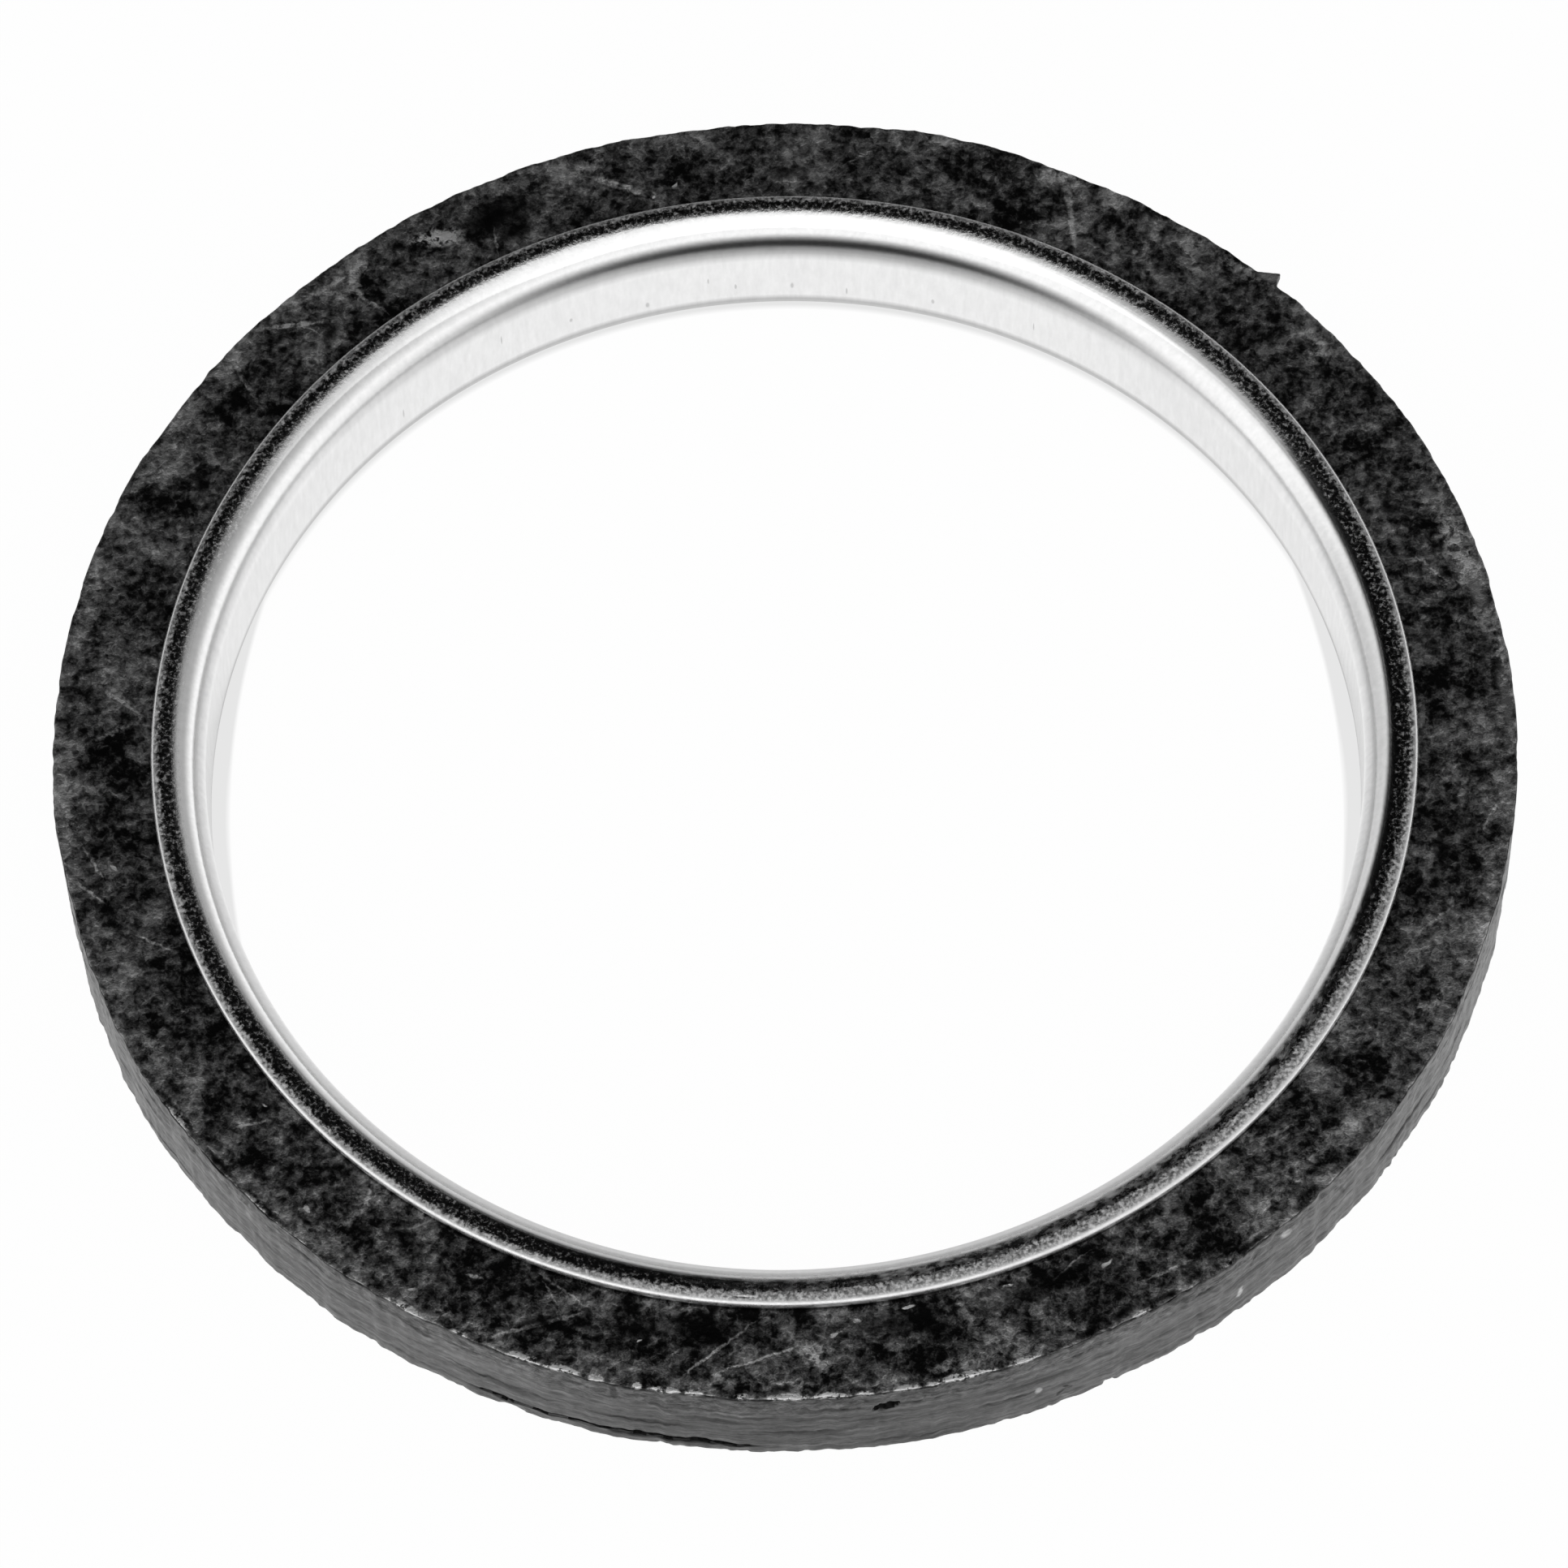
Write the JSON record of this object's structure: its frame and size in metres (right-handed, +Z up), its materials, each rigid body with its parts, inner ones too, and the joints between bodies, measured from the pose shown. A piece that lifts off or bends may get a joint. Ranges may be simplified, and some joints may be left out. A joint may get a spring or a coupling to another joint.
{
  "type": "exhaust gasket",
  "caption": "Flat round exhaust ring gasket: pressed graphite with a thin metal sleeve that lines the bore and turns outward over both faces.",
  "frame": {"origin": "on the bore's axis, in the plane that the lower lip rests on", "axes": "+Z up along the bore's axis; -Y is the side of the wall with the torn pit; +X to its right"},
  "size_m": [0.0694, 0.0694, 0.0068],
  "materials": {
    "graphite": "pressed graphite, satin, scuffed",
    "sleeve_steel": "bright rolled"
  },
  "bodies": {
    "root": {"graphite_ring": "graphite", "bore_sleeve": "sleeve_steel"}
  },
  "joints": []
}
